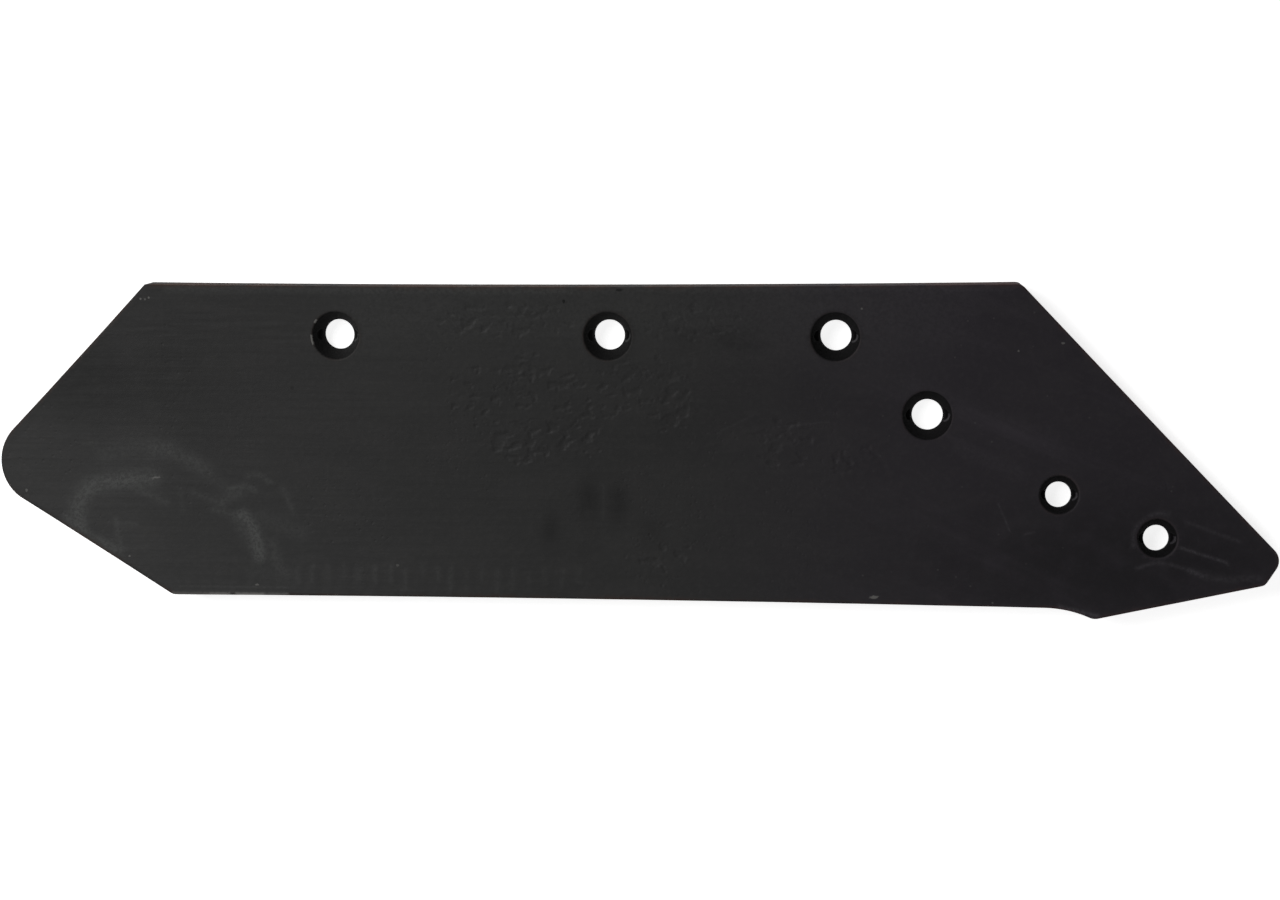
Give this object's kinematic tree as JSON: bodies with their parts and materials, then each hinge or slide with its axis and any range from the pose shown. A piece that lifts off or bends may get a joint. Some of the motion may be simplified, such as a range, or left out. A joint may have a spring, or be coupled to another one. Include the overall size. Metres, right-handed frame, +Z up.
{
  "type": "plough share",
  "caption": "Flat, slightly hollow steel share for a mouldboard plough, with a blunt wing, a hooked point, a bevelled cutting edge and countersunk bolt holes.",
  "frame": {"origin": "centre of the outline's box at the lowest line of the rounded back, where the share lies on the ground", "axes": "+X along the share from the wing to the point, +Y from the cutting edge to the top edge, +Z up out of the hollow face"},
  "size_m": [0.5732, 0.1461, 0.0137],
  "materials": {
    "black_paint": "satin"
  },
  "bodies": {
    "root": {"share_blade": "black_paint"}
  },
  "joints": []
}
